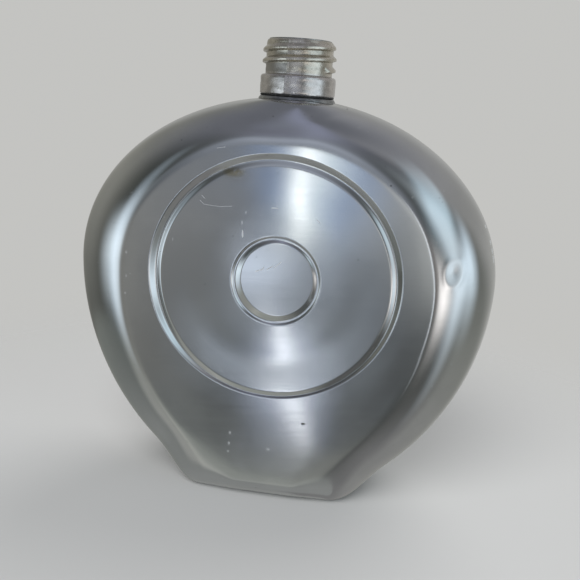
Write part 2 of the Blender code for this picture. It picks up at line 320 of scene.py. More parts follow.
def ring_depth(radius, angles):
    """How deep the die presses the face, at each distance and angle from the rings' centre."""
    wall = WALL + WALL_MORE * wall_share(angles)
    trough_depth = DEPTH + DEPTH_MORE * wall_share(angles)
    trough = RING_RADIUS - wall
    inner = trough - INNER_RUN
    bed = BED + BED_MORE * wall_share(angles)
    rise_in = (trough_depth - disc_depth(inner, angles)) / (INNER_RUN - bed)
    rise_out = -trough_depth / (wall - bed)
    return (disc_depth(np.minimum(radius, inner), angles) + rise_in * eased(radius - inner, 0.4)
            - rise_in * eased(radius - trough + bed, 0.15) + rise_out * eased(radius - trough - bed, 0.15)
            - rise_out * eased(radius - RING_RADIUS, 0.3))


# %% [markdown]
# ### Loops for the die
# A real sheet bends anywhere, but a mesh bends only along its edges. So the disc gets a loop of
# edges for each line of the pressing, close together where the metal turns sharply and far apart
# where it is flat. From the middle out, they belong to the rings, the flat face, the flank and
# the rim at the weld.

# %% The loops from the middle out to the weld
FLAT_REACH = 54.6
button_circles = [0, 3, 6, 9, 11.5, 13.0, 13.6, 13.95, 14.15, 14.3, 14.45, 14.7, 15.2, 15.8, 16.2,
                  16.4, 16.52, 16.64, 16.8, 17.05, 17.3, 17.42, 17.53, 17.66, 17.8, 17.95, 18.1,
                  18.25, 18.4, 18.6, 19.0, 19.7, 20.6, 21.4, 22.4]
ring_circles = [23.5, 25.2, 27, 29, 31.2, 33.5, 36, 38.5, 41, 43.5, 45.5, 46.8, 47.6, 48.0, 48.25,
                48.5, 48.8, 49.3, 49.8, 50.1, 50.27, 50.4, 50.5, 50.6, 50.75, 50.95, 51.4, 51.9,
                52.3, 52.6, 52.8, 52.95, 53.1, 53.25, 53.45, 53.8, 54.2, FLAT_REACH]
circles = np.array(button_circles + ring_circles)
face_shares = np.array([0.12, 0.26, 0.42, 0.58, 0.72, 0.83, 0.91, 0.96, 1.0])
flank_shares = np.array([0.012, 0.026, 0.042, 0.06, 0.08, *np.linspace(0.105, 1.0, 29)])
last_flank = len(circles) + len(face_shares) + len(flank_shares) - 1
LOOPS = last_flank + 1
steps_out = np.arange(LOOPS + 1)
circle_at = np.interp(steps_out, np.arange(len(circles)), circles)
face_steps = len(circles) - 1 + np.arange(len(face_shares) + 1)
face_at = np.interp(steps_out, face_steps, np.append(0, face_shares))
flank_steps = last_flank - len(flank_shares) + np.arange(len(flank_shares) + 1)
flank_at = np.interp(steps_out, flank_steps, np.append(0, flank_shares))
rim_at = np.where(steps_out > last_flank, 1.0, 0.0)
CREASE_REACH, RIM_Y = 0.22, 0.6
LAST_TURN = math.pi / 2 - CREASE_ANGLE
# By the distance from the rings' centre: how much the small ring grows, then how much of a shift
# its flat takes, and how much of one all that lies inside its outer edge takes
BUTTON_GROWTH = ([0, 14.3, 16.6, 18.2, 19.7, 23], [0, 0.9, 0.42, 0.45, 0.3, 0])
FLAT_SHARE, FLAT_SHIFT = ([14.7, 16.6], [1, 0]), (0.35, 0.73)
BUTTON_SHARE, BUTTON_SHIFT = ([18.4, 23], [1, 0]), (0.28, 0.17)
# The large ring lies a little left and high, and is a little wider than it is tall
RING_SHIFT, RING_WIDER = (-0.7, 0.5), 0.2
BUTTON_TALLER, BUTTON_REACH = 2.6, 24
print("loops", LOOPS, "spokes", SPOKES)


def base_share(angles):
    """1 over the flat base, falling to 0 up the lower side."""
    corner = math.atan2(BASE_FLAT / 2, RING_HEIGHT)
    fade = np.clip((np.abs(angles) - corner) / corner, 0, 1)
    return 1 - fade * fade * (3 - 2 * fade)


def pressed(step, angles):
    """Where the die puts a point of the disc, from its loop and its angle, in metres."""
    face, body = reach_of(face_edge, angles), reach_of(body_edge, angles)
    land = WELD_LAND + (HALF_THICKNESS - BASE_BEND - WELD_LAND) * base_share(angles)
    circle, share = np.interp(step, steps_out, circle_at), np.interp(step, steps_out, face_at)
    flank, rim = np.interp(step, steps_out, flank_at), np.interp(step, steps_out, rim_at)
    trough = RING_RADIUS - WALL - WALL_MORE * wall_share(angles)
    follow = np.interp(circle, [42, TROUGH - INNER_RUN, TROUGH, RING_RADIUS], [0, 1, 1, 0])
    circle = circle + (trough - TROUGH) * follow
    turn = LAST_TURN * (1 - flank)
    inward = (1 - np.cos(turn)) / (1 - math.cos(LAST_TURN))
    forward = np.sin(turn) / math.sin(LAST_TURN)
    radius = np.where(flank > 0, body + (face - body) * inward, circle + (face - circle) * share)
    edge_slope = (HALF_THICKNESS - land) / math.tan(LAST_TURN) / (
        (body - face) * math.sin(LAST_TURN) / (1 - math.cos(LAST_TURN)))
    fall = np.where(flank > 0, (HALF_THICKNESS - land) * (1 - forward), (radius - face) * edge_slope)
    crown = np.clip((np.abs(angles) - 2.0) / 0.8, 0, 1)
    depth = eased(fall, CREASE_REACH + 0.3 * crown + 0.25 * base_share(angles))
    depth = depth + np.where(radius < 60, ring_depth(np.minimum(radius, 60), angles), 0)
    y = -(HALF_THICKNESS - depth)
    y = y * (1 - rim) - RIM_Y * rim
    x, z = radius * np.sin(angles), RING_HEIGHT - radius * np.cos(angles)
    grown = np.interp(radius, *BUTTON_GROWTH)
    flat, button = np.interp(radius, *FLAT_SHARE), np.interp(radius, *BUTTON_SHARE)
    x = x + grown * np.sin(angles) + FLAT_SHIFT[0] * flat + BUTTON_SHIFT[0] * button
    z = z - grown * np.cos(angles) + FLAT_SHIFT[1] * flat + BUTTON_SHIFT[1] * button
    share = np.clip((radius - 54) / (face - 54.3), 0, 1)
    share = 1 - share * share * (3 - 2 * share)
    across = x + share * (RING_SHIFT[0] * (radius / RING_RADIUS) ** 2 + RING_WIDER * x / RING_RADIUS)
    squeeze = 1 - BUTTON_TALLER * np.exp(-((radius / BUTTON_REACH) ** 4))
    squeeze = (z - RING_HEIGHT) / RING_RADIUS * squeeze
    level = z + share * (RING_SHIFT[1] * (radius / RING_RADIUS) ** 2 - squeeze)
    return np.stack([across, y, level], axis=1) * MM


# %% [markdown]
# ### The dent, the waves and the crown
# The right flank has a small dent from a knock. It could be sculpted, but a short formula puts it
# in the same place each run: a dip with a low rim round it. It needs finer faces than the rest,
# so its place on the flat disc is found first. A pressed sheet also keeps gentle waves where it
# was bent, and round the neck the metal is drawn up to meet its seat.

# %% Where the dent lies on the flat disc
DENT = np.array([71.9, 113.1])
DENT_REACH, DENT_DEPTH = (1.9, 3.0), 0.27
dent_angle = math.atan2(DENT[0], RING_HEIGHT - DENT[1])
dent_radius = math.hypot(DENT[0], RING_HEIGHT - DENT[1])
trial = np.linspace(60, LOOPS, 900)
trial_points = pressed(trial, np.full(900, dent_angle)) / MM
trial_radius = np.hypot(trial_points[:, 0], trial_points[:, 2] - RING_HEIGHT)
dent_step = trial[np.argmin(np.abs(trial_radius - dent_radius))]
print("dent lies on loop", round(dent_step, 1), "at", round(math.degrees(dent_angle)), "degrees")


def unevenness(points):
    """Gentle waves that a pressed sheet keeps, in metres, strongest where it is bent."""
    x, z = points[:, 0] / MM, points[:, 2] / MM
    waves = np.sin(x / 9.1 + z / 23.0 + 1.0) * np.sin(z / 11.3 - x / 31.0)
    waves = waves + 0.6 * np.sin(x / 17.0 - z / 6.9 + 2.0)
    reach = np.hypot(x, z - RING_HEIGHT)
    bent = np.clip((reach - 60) / 8, 0, 1) * np.clip((-points[:, 1] / MM - 4) / 14, 0, 1)
    return 0.045 * MM * (waves + 1.6) * bent


SEAT_LEVEL, SEAT_REACH, SEAT_FADE = 175.5, 17.0, 28.0


def neck_seat(points):
    """How far the crown is drawn up round the neck, in metres."""
    x, y, z = (points / MM).T
    share = np.clip((SEAT_FADE - np.hypot(x, y)) / (SEAT_FADE - SEAT_REACH), 0, 1)
    share = share**2 * (3 - 2 * share)
    side = (x / BODY_WIDTH * 2).clip(-1, 1)
    outline = WIDEST_HEIGHT + (BODY_HEIGHT - WIDEST_HEIGHT) * np.sqrt(1 - side**2)
    level = np.minimum(SEAT_LEVEL, outline - 0.5)
    return np.where(z > 150, np.clip(level - z, 0, None) * share, 0) * MM


def crown_bend(points):
    """How much sooner the sheet bends back below the neck, in metres."""
    x, y, z = (points / MM).T
    bend = 1.0 * np.exp(-(((z - 164.0) / 3.0) ** 2)) - 0.3 * np.exp(-(((z - 170.0) / 2.5) ** 2))
    return np.where(y < -12, bend * np.exp(-(((x + 5) / 15) ** 2)), 0) * MM


# %% [markdown]
# ### Press the disc
# Now the disc is added, inset loop by loop, and each point goes where the die puts it. The middle
# face is poked into triangles, because a face with hundreds of corners shades badly once it is
# bent. The back half is the same pressing, turned half round about the neck.

# %% Press one half
def pressed_sheet(name, dented):
    """A disc inset into loops, then pressed: the outer skin of the front half."""
    piece = start_circle(name, SPOKES, LOOPS * MM, fill="NGON")
    for _ in range(LOOPS - 1):
        bpy.ops.mesh.inset(thickness=MM)
    bpy.ops.mesh.poke()
    if dented:
        mesh = bmesh.from_edit_mesh(piece.data)
        flat_dent = Vector((math.sin(dent_angle), -math.cos(dent_angle), 0)) * dent_step * MM
        for face in mesh.faces:
            offset = face.calc_center_median() - flat_dent
            face.select = abs(offset.dot(flat_dent.normalized())) < 6.5 * MM and offset.length < 9 * MM
        bmesh.update_edit_mesh(piece.data)
        bpy.ops.mesh.subdivide(number_cuts=3)
    bpy.ops.object.mode_set(mode="OBJECT")
    flat = points_of(piece)
    step = np.hypot(flat[:, 0], flat[:, 1]) / MM
    points = pressed(np.clip(step, 0, LOOPS), np.arctan2(flat[:, 0], -flat[:, 1]))
    points[:, 1] += unevenness(points) + crown_bend(points)
    points[:, 2] += neck_seat(points)
    if dented:
        across = (points[:, 0] / MM - DENT[0]) / DENT_REACH[0]
        along = (points[:, 2] / MM - DENT[1]) / DENT_REACH[1]
        far = across**2 + along**2
        dip = DENT_DEPTH * (np.exp(-far) - 0.35 * np.exp(-((np.sqrt(far) - 1.9) ** 2) * 3)) * MM
        dip = np.where(points[:, 1] < -5 * MM, dip, 0)
        points[:, 0] -= 0.35 * dip
        points[:, 1] += 0.93 * dip
    place_points(piece, points)
    face_outward(piece)
    middle = min(piece.data.polygons, key=lambda face: face.center.y)
    if middle.normal.y > 0:
        bpy.ops.object.mode_set(mode="EDIT")
        bpy.ops.mesh.flip_normals()
        bpy.ops.object.mode_set(mode="OBJECT")
    return piece


front_body = pressed_sheet("front_body", True)
back_body = pressed_sheet("back_body", False)
back_body.data.transform(Matrix.Rotation(math.pi, 4, "Z"))
skin = points_of(front_body)
print("pressed skin in mm", (1000 * (skin.max(0) - skin.min(0))).round(1))

# %% [markdown]
# ### Sheet thickness and the neck's hole
# The sheet is taken as 1 mm thick. Solidify thickens it inward, so the outside keeps its size.
# One cylinder then cuts the hole for the neck with a Boolean, which leaves the loops as they are.
# The same cylinder cuts the weld below, so that nothing crosses the mouth.

# %% Give both halves their sheet thickness and the hole for the neck
BORE, SLEEVE_WALL, SEAT_GAP, BOSS_WALL = 11.0, 0.8, 0.3, 1.1
HOLE_RADIUS = BORE + SLEEVE_WALL + SEAT_GAP + BOSS_WALL + 0.1
hole = start_circle("hole_cutter", 96, HOLE_RADIUS * MM, height=0.155, fill="NGON")
bpy.ops.mesh.extrude_region_move(TRANSFORM_OT_translate={"value": (0, 0, 0.04)})
face_outward(hole)
for body in (front_body, back_body):
    apply_modifier(body, "sheet", "SOLIDIFY", thickness=SHEET * MM, offset=-1.0, use_even_offset=True)
    apply_modifier(body, "neck_hole", "BOOLEAN", operation="DIFFERENCE", solver="EXACT", object=hole)

# %% [markdown]
# ## The weld
# The halves meet edge to edge in one bead, ground nearly flush. It starts as a circle laid
# along the outline, extruded across the joint, and thickened inward. The neck's hole interrupts it.

# %% Weld bead
WELD_STEPS, WELD_RIPPLE = 720, 0.03
side_weld = start_circle("weld_bead", WELD_STEPS, 1.0)
WELD_ACROSS = [-0.6, -0.35, 0.0, 0.35, 0.6]
for _ in WELD_ACROSS[1:]:
    bpy.ops.mesh.extrude_region_move(TRANSFORM_OT_translate={"value": (0, 0, 1.0)})
bpy.ops.object.mode_set(mode="OBJECT")
flat = points_of(side_weld)
angles = np.arctan2(flat[:, 0], -flat[:, 1])
across = np.array(WELD_ACROSS)[np.rint(flat[:, 2]).astype(int)]
radius = reach_of(body_edge, angles) - 0.13 + 0.08 * np.cos(across / 0.6 * math.pi / 2)
radius += WELD_RIPPLE * np.sin(angles * 260) * np.cos(across / 0.6 * math.pi / 2)
place_points(side_weld, np.stack([radius * np.sin(angles), across, RING_HEIGHT - radius * np.cos(angles)],
                                 axis=1) * MM)
face_outward(side_weld)
apply_modifier(side_weld, "thickness", "SOLIDIFY", thickness=1.1 * MM, offset=-1.0)
apply_modifier(side_weld, "neck_hole", "BOOLEAN", operation="DIFFERENCE", solver="EXACT", object=hole)
bpy.data.objects.remove(hole, do_unlink=True)

# %% [markdown]
# ## Turned rings for the neck
# The boss, the sealing ring, the neck and its sleeve are all round about one axis. Each starts
# as a circle, which is extruded and scaled from one line of its section to the next, and the
# last line is bridged back to the first.

# %% Turn a ring from its section
BODY_TOP = BODY_HEIGHT
SEAT_Z = BODY_TOP + 0.3
COLLAR_Z = SEAT_Z + 0.3 + 0.6 + 0.3
COLLAR_TOP = COLLAR_Z + 7.5
SLEEVE_TOP = COLLAR_Z + 22.0
NECK_RIM = SLEEVE_TOP - 1.1
SOCKET = BORE + SLEEVE_WALL + SEAT_GAP


def turned_ring(name, section, spokes=160):
    """A closed ring from a section of (radius, height) points, listed down its outside first."""
    first_radius, first_height = section[0]
    piece = start_circle(name, spokes, first_radius * MM, first_height * MM)
    for (radius, height), (next_radius, next_height) in zip(section, section[1:]):
        rise = {"value": (0, 0, (next_height - height) * MM)}
        bpy.ops.mesh.extrude_region_move(TRANSFORM_OT_translate=rise)
        scale = next_radius / radius
        if abs(scale - 1) > 1e-9:
            bpy.ops.transform.resize(value=(scale, scale, 1), center_override=(0, 0, next_height * MM))
    bpy.ops.mesh.select_mode(type="EDGE")
    bpy.ops.mesh.select_all(action="DESELECT")
    bpy.ops.mesh.select_non_manifold(extend=False, use_boundary=True)
    bpy.ops.mesh.bridge_edge_loops()
    face_outward(piece)
    return piece


def rounded_section(corners, reach=0.25, pieces=3):
    """A closed section with each of its corners cut into a small round."""
    rounded = []
    for index, corner in enumerate(corners):
        here = np.array(corner)
        before = np.array(corners[index - 1]) - here
        after = np.array(corners[(index + 1) % len(corners)]) - here
        cut = min(reach, np.hypot(*before) * 0.45, np.hypot(*after) * 0.45)
        start = here + before / np.hypot(*before) * cut
        end = here + after / np.hypot(*after) * cut
        for share in np.linspace(0, 1, pieces + 1):
            rounded.append(tuple((1 - share) ** 2 * start + 2 * share * (1 - share) * here + share**2 * end))
    return rounded


# %% [markdown]
# ### Sealing ring, boss and sleeve
# The sealing ring is a rubber washer between collar and seat. The boss is the aluminium seat let
# into the crown. The sleeve runs through all three and is rolled over at both ends, which holds
# them together. A plain tube would have razor edges, so each is turned from its own section,
# with every corner cut into a small round.

# %% Sealing ring, squeezed between the collar and the boss
SEAL_TOP = SEAT_Z + 0.8
gasket = turned_ring("sealing_ring", rounded_section([(15.75, SEAL_TOP), (15.75, SEAT_Z + 0.02),
                                                      (SOCKET, SEAT_Z + 0.02), (SOCKET, SEAL_TOP)], 0.3))

# %% Boss, its flange hugging the crown
boss = turned_ring("boss_seat", rounded_section([
    (15.6, SEAT_Z), (16.2, SEAT_Z - 0.7), (16.6, SEAT_Z - 1.7), (16.7, SEAT_Z - 5.0), (13.2, SEAT_Z - 5.0),
    (13.2, SEAT_Z - 9.9), (SOCKET, SEAT_Z - 9.9), (SOCKET, SEAT_Z)], 0.3))

# %% Sleeve, rolled out at both ends
sleeve = turned_ring("rolled_sleeve", rounded_section([
    (13.2, SLEEVE_TOP), (13.2, SLEEVE_TOP - 0.8), (BORE + 0.8, SLEEVE_TOP - 0.8), (BORE + 0.8, SEAT_Z - 10.3),
    (13.2, SEAT_Z - 10.3), (13.2, SEAT_Z - 11.1), (BORE, SEAT_Z - 11.1), (BORE, SLEEVE_TOP)], 0.35))

# %% [markdown]
# ### The cast neck
# The neck is one casting: a plain collar, and above it a wall that carries the thread. It is
# turned as the other rings are, but with many more lines up the wall, because the thread is
# pushed out of them in the next step.

# %% Cast neck, first as a plain turned ring
NECK_SPOKES = 240
ROOT, THREAD = 14.1, 15.55
RIM_TOP = SLEEVE_TOP - 0.45
outside = [(13.35, RIM_TOP), (13.62, RIM_TOP - 0.12), (13.82, RIM_TOP - 0.35), (13.97, RIM_TOP - 0.7),
           (14.07, RIM_TOP - 1.15)]
outside += [(ROOT, height) for height in np.arange(RIM_TOP - 1.6, COLLAR_TOP + 0.3, -0.15)]
outside += [(ROOT + 0.12, COLLAR_TOP + 0.12), (ROOT + 0.35, COLLAR_TOP), (15.1, COLLAR_TOP - 0.04),
            (15.55, COLLAR_TOP - 0.25), (15.85, COLLAR_TOP - 0.65), (16.0, COLLAR_TOP - 1.15)]
outside += [(16.0, height) for height in np.linspace(COLLAR_TOP - 1.7, SEAL_TOP + 0.75, 9)]
outside += [(15.95, SEAL_TOP + 0.3), (15.7, SEAL_TOP + 0.02), (SOCKET, SEAL_TOP + 0.02),
            (SOCKET, NECK_RIM - 0.1), (13.25, NECK_RIM - 0.05), (13.3, NECK_RIM + 0.1)]
neck = turned_ring("cast_neck", outside, NECK_SPOKES)

# %% [markdown]
# ### The neck's thread
# The cast thread has a steep underside and a long, soft upper side. A screw of that section
# could be swept by hand, but its two ends have to melt into the wall. So the wall's own points
# are pushed out along the screw line instead, and the push fades at both ends. The parting line
# of the casting mould and its uneven skin come the same way.

# %% Push the thread out of the wall
PITCH, TURNS = 4.5, 2.1
START_ANGLE, RUN_OUT = math.radians(-32), math.radians(20)


def eased_step(value, low, high):
    share = np.clip((value - low) / (high - low), 0, 1)
    return share * share * (3 - 2 * share)


points = points_of(neck) / MM
radius = np.hypot(points[:, 0], points[:, 1])
angle = np.arctan2(points[:, 1], points[:, 0])
start_z = COLLAR_TOP + 2.5
lift = np.zeros(len(points))
total = TURNS * 2 * math.pi
for lap in range(4):
    turn = (angle - START_ANGLE) % (2 * math.pi) + 2 * math.pi * lap
    end = np.clip(np.minimum(turn, total - turn) / RUN_OUT, 0, 1)
    end = np.where(turn <= total, np.sqrt(end * (2 - end)), 0)
    above = points[:, 2] - start_z - PITCH * turn / (2 * math.pi)
    ridge = eased_step(above, -1.15, -0.5) * (1 - eased_step(above, 0.1, 1.9))
    lift = np.maximum(lift, ridge * end)
wall = (radius > ROOT - 0.2) & (points[:, 2] > COLLAR_TOP + 0.1) & (points[:, 2] < RIM_TOP - 0.9)
push = np.where(wall, lift * (THREAD - ROOT), 0)
PARTING_ANGLES = (math.radians(-103), math.radians(77))
skin_of_neck = (radius > ROOT - 0.2) & (points[:, 2] < RIM_TOP - 0.35) & (points[:, 2] > SEAL_TOP + 0.5)
for parting in PARTING_ANGLES:
    across = np.angle(np.exp(1j * (angle - parting))) * radius
    push += np.where(skin_of_neck, 0.16 * np.exp(-((across / 0.32) ** 2)), 0)
uneven = 0.03 * (np.sin(points[:, 2] * 1.9 + 3 * angle) + np.sin(7 * angle - points[:, 2] * 1.1)
                 + np.sin(13 * angle))
push += np.where(skin_of_neck, uneven, 0)
swell = 1 + push / radius
points[:, 0] *= swell
points[:, 1] *= swell
place_points(neck, points * MM)
print("thread stands out by", round(float(push.max()), 2), "mm")

# %% [markdown]
# ## Finishes
# Each finish is worked out at every point from its place on the piece, so no picture has to be
# wrapped round the bottle and no seam shows. Two patterns do most of the work: soft clouds, for
# stains and mottling, and clouds drawn out into lines, for grain and scratches.

# %% Parts that several finishes share
def new_material(name):
    """An empty material, its board, and the place of each point on the piece."""
    material = bpy.data.materials.new(name)
    material.use_nodes = True
    board = Board(material.node_tree)
    return material, board, board.node("ShaderNodeTexCoord", output=3)


def close_material(board, tone, metallic, rough, bump, more=None):
    """A shader wired to the output, from the values and patterns of its sockets."""
    shader = board.node("ShaderNodeBsdfPrincipled", {}, {
        "Base Color": tone, "Metallic": metallic, "Roughness": rough, "Normal": bump, **(more or {})})
    board.node("ShaderNodeOutputMaterial", {}, {"Surface": shader})


def raised(board, strength, distance, pattern):
    """A bump that lets a pattern stand out from the surface, by a distance in metres."""
    return board.node("ShaderNodeBump", {}, {"Strength": strength, "Distance": distance, "Height": pattern})


def clouds(board, place, size, detail=3.0, roughness=0.5):
    """Soft noise whose patches are about the given size, in metres."""
    return board.node("ShaderNodeTexNoise", {}, {"Vector": place, "Scale": 1 / size, "Detail": detail,
                                                 "Roughness": roughness})


def lines(board, place, lean, along, across, detail=2.0):
    """Noise drawn out into lines across the face, leaning up to the right by an angle in degrees."""
    turned = board.node("ShaderNodeMapping", {}, {"Vector": place, "Rotation": (0, math.radians(lean), 0)})
    scale = (1 / along, 1 / along, 1 / across)
    drawn = board.node("ShaderNodeMapping", {}, {"Vector": turned, "Scale": scale})
    return board.node("ShaderNodeTexNoise", {}, {"Vector": drawn, "Scale": 1.0, "Detail": detail})


# %% [markdown]
# ### Satin aluminium
# The sheet looks brushed before it was pressed: its grain runs nearly level across the face,
# leaning up a little to the right. The grain stretches every highlight up and down, which an
# anisotropic shader does. Handling has left hairlines, a few pits and one brown stain. The ones
# that show most are placed one by one, and sparse noise gives the rest.

# %% A scratch between two points of the front face, in millimetres
def scratch(board, place, start, end, width):
    """1 along a line across the front face, and 0 past its width."""
    first = Vector((start[0] * MM, 0, start[1] * MM))
    run = Vector((end[0] * MM, 0, end[1] * MM)) - first
    from_first = board.node("ShaderNodeVectorMath", {"operation": "SUBTRACT"}, [place, first])
    share = board.node("ShaderNodeVectorMath", {"operation": "DOT_PRODUCT"},
                       [from_first, run / run.length_squared], output=1)
    share = board.node("ShaderNodeClamp", {}, {"Value": share})
    foot = board.node("ShaderNodeVectorMath", {"operation": "SCALE"}, {0: run, "Scale": share})
    gap = board.node("ShaderNodeVectorMath", {"operation": "DISTANCE"}, [from_first, foot], output=1)
    return 1 - gap.rise(width * 0.15 * MM, width * 0.95 * MM)


def spot(board, place, x, z, reach, tall=1.0):
    """1 at a point of the front face, fading out at the reach, in millimetres."""
    offset = board.node("ShaderNodeVectorMath", {"operation": "MULTIPLY_ADD"},
                        [place, (1, 1, 1 / tall), (-x * MM, 0, -z / tall * MM)])
    gap = board.node("ShaderNodeVectorMath", {"operation": "LENGTH"}, [offset], output=1)
    return 1 - gap.rise(reach * 0.3 * MM, reach * MM)


# %% Satin aluminium of the pressed halves
BRIGHT_SCRATCHES = [
    ((-33.2, 133.3), (-31.5, 131.8), 0.12), ((-31.5, 131.8), (-28.9, 131.6), 0.12),
    ((-28.9, 131.6), (-24.7, 131.4), 0.12), ((-24.7, 131.4), (-19.8, 132.0), 0.1),
    ((-32.5, 135.4), (-31.2, 134.2), 0.15), ((-26.7, 154.9), (-23.4, 155.6), 0.1),
    ((-3.3, 132.7), (-0.8, 132.9), 0.25), ((-14.8, 122.4), (-14.6, 119.6), 0.2),
    ((-8.2, 105.9), (-5.2, 107.2), 0.3), ((-6.0, 106.4), (-5.0, 108.0), 0.25),
    ((-3.6, 107.1), (-1.3, 108.8), 0.28), ((-0.8, 108.0), (2.0, 110.8), 0.22),
    ((15.2, 129.6), (16.8, 128.4), 0.22)]
EDGE_SCUFFS = [((84.3, 130.4), (84.8, 129.4), 0.5), ((87.3, 124.0), (87.8, 122.8), 0.6),
               ((88.6, 120.4), (89.0, 119.0), 0.7), ((89.4, 117.6), (90.0, 115.2), 0.7)]
# Place across and up, reach, and how much taller than wide, in millimetres
DARK_SPOTS = [(16.6, 40.2, 1.1, 0.6), (22.5, 173.4, 0.5, 1.0), (43.4, 145.8, 0.45, 1.0),
              (33.4, 114.7, 0.5, 0.8), (-29.7, 98.0, 0.4, 1.0), (-18.7, 119.8, 0.4, 1.0),
              (-38.0, 41.2, 0.35, 1.0)]
PALE_SPOTS = [(-63.9, 108.7, 0.7, 1.3), (-63.8, 98.4, 0.5, 1.6), (-64.2, 90.8, 0.6, 1.2),
              (-44.2, 116.0, 0.3, 4.0), (-13.8, 130.0, 0.6, 1.3), (-15.2, 125.6, 0.6, 1.8),
              (-14.7, 121.0, 0.7, 2.6), (-14.5, 113.8, 0.6, 1.7), (-15.5, 31.8, 0.8, 1.4),
              (-15.7, 26.6, 0.75, 1.5), (-15.9, 22.7, 0.7, 1.1), (2.0, 26.0, 0.9, 1.0)]
# How far the sheet's grain leans up to the right, in degrees
GRAIN_LEAN = 4.6


def satin_aluminium():
    material, board, place = new_material("satin_aluminium")
    depth = board.split(place)[1]
    front = 1 - depth.rise(-0.012, -0.006)
    level = board.node("ShaderNodeVectorMath", {"operation": "MULTIPLY"}, [place, (1, 0, 1)])
    grain = lines(board, place, GRAIN_LEAN, 0.012, 0.00022)
    broad_grain = lines(board, place, GRAIN_LEAN, 0.05, 0.0011)
    cloud = clouds(board, place, 0.022, 4.0)
    patch = clouds(board, place, 0.055, 2.0)
    hairs = lines(board, place, 38, 0.009, 0.00014, 1.0).rise(0.80, 0.85)
    for lean, along in ((-27, 0.012), (84, 0.01)):
        hairs = hairs + lines(board, place, lean, along, 0.00014, 1.0).rise(0.80, 0.85)
    specks = clouds(board, place, 0.0011, 0.0).rise(0.85, 0.88)
    bright = specks * 0.4
    for start, end, width in BRIGHT_SCRATCHES:
        bright = bright.most(scratch(board, level, start, end, width))
    pale = 0.0
    for x, z, reach, tall in PALE_SPOTS:
        pale = spot(board, level, x, z, reach, tall) + pale
    dark = clouds(board, place, 0.0012, 0.0).rise(0.865, 0.885) * 0.6
    for x, z, reach, tall in DARK_SPOTS:
        dark = dark.most(spot(board, level, x, z, reach, tall) * front)
    bright = (bright * front).most(hairs * 0.4)
    for start, end, width in EDGE_SCUFFS:
        bright = bright.most(scratch(board, level, start, end, width))
    stain = spot(board, level, -20.0, 145.8, 6.4, 0.42) * clouds(board, place, 0.0016).rise(0.3, 0.5) * front
    stain = stain * 0.8 + spot(board, level, -19.0, 145.0, 9.0, 0.5) * 0.2 * front
    tone = board.mix(cloud.rise(0.38, 0.62), colour(0.565, 0.58, 0.60), colour(0.60, 0.615, 0.635))
    tone = board.mix(grain.rise(0.3, 0.7) * 0.12, tone, colour(0.50, 0.515, 0.535))
    tone = board.mix(pale * 0.4, tone, colour(0.8, 0.81, 0.82))
    tone = board.mix(bright * 0.55, tone, colour(0.84, 0.86, 0.88))
    tone = board.mix(stain * 0.85, tone, colour(0.36, 0.32, 0.22))
    tone = board.mix(dark * 0.85, tone, colour(0.07, 0.065, 0.055))
    rough = (0.12 + (patch - 0.5) * 0.04 + (cloud - 0.5) * 0.03 + (broad_grain - 0.5) * 0.03
             + bright * 0.25 + pale * 0.1 + stain * 0.1)
    relief = grain * 0.5 + broad_grain * 0.8 - bright * 1.2 - dark * 3.0
    close_material(board, tone, 1 - bright * 0.42 - pale * 0.15, rough, raised(board, 0.35, 0.00001, relief),
                   {"Anisotropic": 0.6, "Anisotropic Rotation": 0.25 + GRAIN_LEAN / 360})
    return material


satin = satin_aluminium()


# %% [markdown]
# ### Ground weld, boss and sleeve
# The weld bead is taken as ground flush, so it carries short marks across it. The boss
# and the sleeve are dull turned metal, scratched where a cap has scraped them.

# %% Dull metals
def dull_metal(name, base, other, roughness, mark_size, relief):
    material, board, place = new_material(name)
    cloud = clouds(board, place, 0.004, 4.0)
    marks = lines(board, place, 8, mark_size * 8, mark_size, 2.0)
    wear = clouds(board, place, 0.0009, 2.0).rise(0.6, 0.7)
    tone = board.mix(cloud.rise(0.35, 0.65), base, other)
    tone = board.mix(wear * 0.5, tone, colour(0.75, 0.76, 0.75))
    tone = board.mix(marks.rise(0.55, 0.75) * 0.35, tone, colour(0.2, 0.2, 0.19))
    rough = roughness + (cloud - 0.5) * 0.15 - wear * 0.08
    close_material(board, tone, 1.0, rough, raised(board, relief, 0.00006, marks + wear * 0.4))
    return material


ground = dull_metal("ground_weld", colour(0.48, 0.49, 0.50), colour(0.56, 0.57, 0.58),
                    0.33, 0.0002, 0.3)
boss_metal = dull_metal("boss_aluminium", colour(0.26, 0.27, 0.28), colour(0.40, 0.41, 0.42),
                        0.34, 0.0003, 0.5)
rolled = dull_metal("sleeve_aluminium", colour(0.40, 0.40, 0.38), colour(0.48, 0.48, 0.46),
                    0.32, 0.0003, 0.4)
